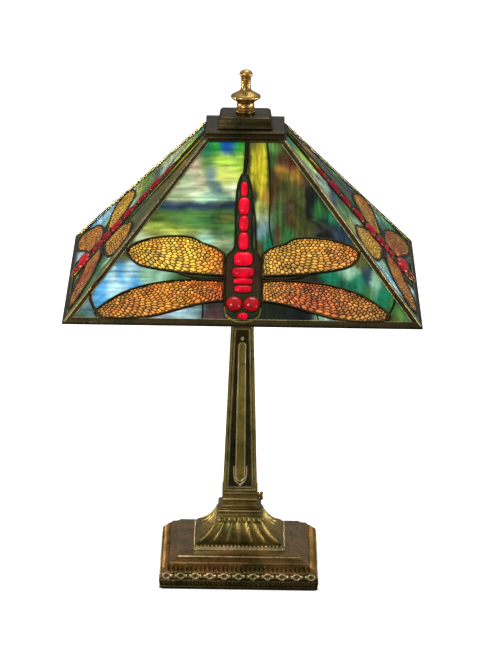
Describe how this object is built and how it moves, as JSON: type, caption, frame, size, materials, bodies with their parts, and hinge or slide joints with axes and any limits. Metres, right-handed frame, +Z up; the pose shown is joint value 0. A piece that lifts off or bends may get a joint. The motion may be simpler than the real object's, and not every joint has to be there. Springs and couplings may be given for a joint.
{
  "type": "stained glass table lamp",
  "caption": "Table lamp with a pyramid art-glass shade of dragonflies, a fluted square bronze base, a panelled square column, a turned finial and a rotary switch.",
  "frame": {"origin": "centre of the base's underside, on the table", "axes": "+Z up, the front face looks along -Y, the switch is on +X"},
  "size_m": [0.407, 0.407, 0.6015],
  "materials": {
    "felt": "dark green felt",
    "steel": "zinc plated",
    "iron": "rough cast",
    "bronze": "antique bronze patina, green in the recesses and rubbed bright on the edges",
    "dark_bronze": "near-black bronze patina",
    "brass": "polished",
    "black_plastic": "moulded",
    "pearl_glass": "pearl white inside",
    "field_glass": "streaky opalescent sheet glass in lead came",
    "amber_glass": "amber opalescent glass under an etched filigree",
    "ruby_glass": "ruby glass"
  },
  "bodies": {
    "stand": {"felt_pad": "felt", "bottom_cover": "steel", "base_casting": "bronze", "cord_bushing": "black_plastic", "ballast_weight": "iron", "clamp_nut": "steel", "threaded_rod": "steel", "switch_collar": "bronze", "switch_body": "black_plastic", "switch_nut": "brass", "column_shell": "bronze", "column_capital": "bronze", "pipe_cover": "brass", "cluster_body": "brass", "socket_cap_left": "brass", "socket_cap_right": "brass", "socket_shell_left": "brass", "socket_shell_right": "brass", "riser_tube": "brass", "top_stud": "steel"},
    "switch": {"switch_knob": "brass"},
    "bulb_left_contact": {"bulb_insulator_left": "black_plastic"},
    "bulb_left": {"bulb_screw_left": "steel", "bulb_glass_left": "pearl_glass"},
    "bulb_right_contact": {"bulb_insulator_right": "black_plastic"},
    "bulb_right": {"bulb_screw_right": "steel", "bulb_glass_right": "pearl_glass"},
    "seat": {"seat_washer": "brass"},
    "shade": {"glass_field_front": "field_glass", "glass_field_right": "field_glass", "glass_field_back": "field_glass", "glass_field_left": "field_glass", "wing_upper_right_front": "amber_glass", "wing_upper_left_front": "amber_glass", "wing_lower_right_front": "amber_glass", "wing_lower_left_front": "amber_glass", "wing_upper_right_right": "amber_glass", "wing_upper_left_right": "amber_glass", "wing_lower_right_right": "amber_glass", "wing_lower_left_right": "amber_glass", "wing_upper_right_back": "amber_glass", "wing_upper_left_back": "amber_glass", "wing_lower_right_back": "amber_glass", "wing_lower_left_back": "amber_glass", "wing_upper_right_left": "amber_glass", "wing_upper_left_left": "amber_glass", "wing_lower_right_left": "amber_glass", "wing_lower_left_left": "amber_glass", "dragonfly_body_front": "ruby_glass", "dragonfly_body_right": "ruby_glass", "dragonfly_body_back": "ruby_glass", "dragonfly_body_left": "ruby_glass", "shade_frame": "dark_bronze", "shade_rim": "dark_bronze", "shade_top_ring": "dark_bronze", "shade_spider": "brass"},
    "cap": {"cap_skirt": "dark_bronze", "cap_crown": "dark_bronze"},
    "finial_nut": {"finial_insert": "steel"},
    "finial": {"finial": "brass"}
  },
  "joints": [
    {"name": "switch_turn", "type": "hinge", "parent": "stand", "child": "switch", "pos_m": [0.022, 0, 0.0878], "axis": [1, 0, 0], "continuous": true},
    {"name": "bulb_left_out", "type": "slide", "parent": "stand", "child": "bulb_left_contact", "axis": [-1, 0, 0], "range_m": [0, 0.0196]},
    {"name": "bulb_left_turn", "type": "hinge", "parent": "bulb_left_contact", "child": "bulb_left", "pos_m": [-0.05, 0, 0.388], "axis": [-1, 0, 0], "range_deg": [0, 1890]},
    {"name": "bulb_right_out", "type": "slide", "parent": "stand", "child": "bulb_right_contact", "axis": [1, 0, 0], "range_m": [0, 0.0196]},
    {"name": "bulb_right_turn", "type": "hinge", "parent": "bulb_right_contact", "child": "bulb_right", "pos_m": [0.05, 0, 0.388], "axis": [1, 0, 0], "range_deg": [0, 1890]},
    {"name": "shade_turn", "type": "hinge", "parent": "stand", "child": "seat", "pos_m": [0, 0, 0.5202], "axis": [0, 0, 1], "continuous": true},
    {"name": "shade_lift", "type": "slide", "parent": "seat", "child": "shade", "axis": [0, 0, 1], "range_m": [0, 0.23]},
    {"name": "cap_lift", "type": "slide", "parent": "shade", "child": "cap", "axis": [0, 0, 1], "range_m": [0, 0.06]},
    {"name": "finial_rise", "type": "slide", "parent": "cap", "child": "finial_nut", "axis": [0, 0, 1], "range_m": [0, 0.0095]},
    {"name": "finial_turn", "type": "hinge", "parent": "finial_nut", "child": "finial", "pos_m": [0, 0, 0.556], "axis": [0, 0, 1], "range_deg": [0, 3600]}
  ],
  "couplings": [
    {"joint": "bulb_left_out", "follows": "bulb_left_turn", "m_per_rad": 0.0005776},
    {"joint": "bulb_right_out", "follows": "bulb_right_turn", "m_per_rad": 0.0005776},
    {"joint": "finial_rise", "follows": "finial_turn", "m_per_rad": 0.0001497}
  ]
}
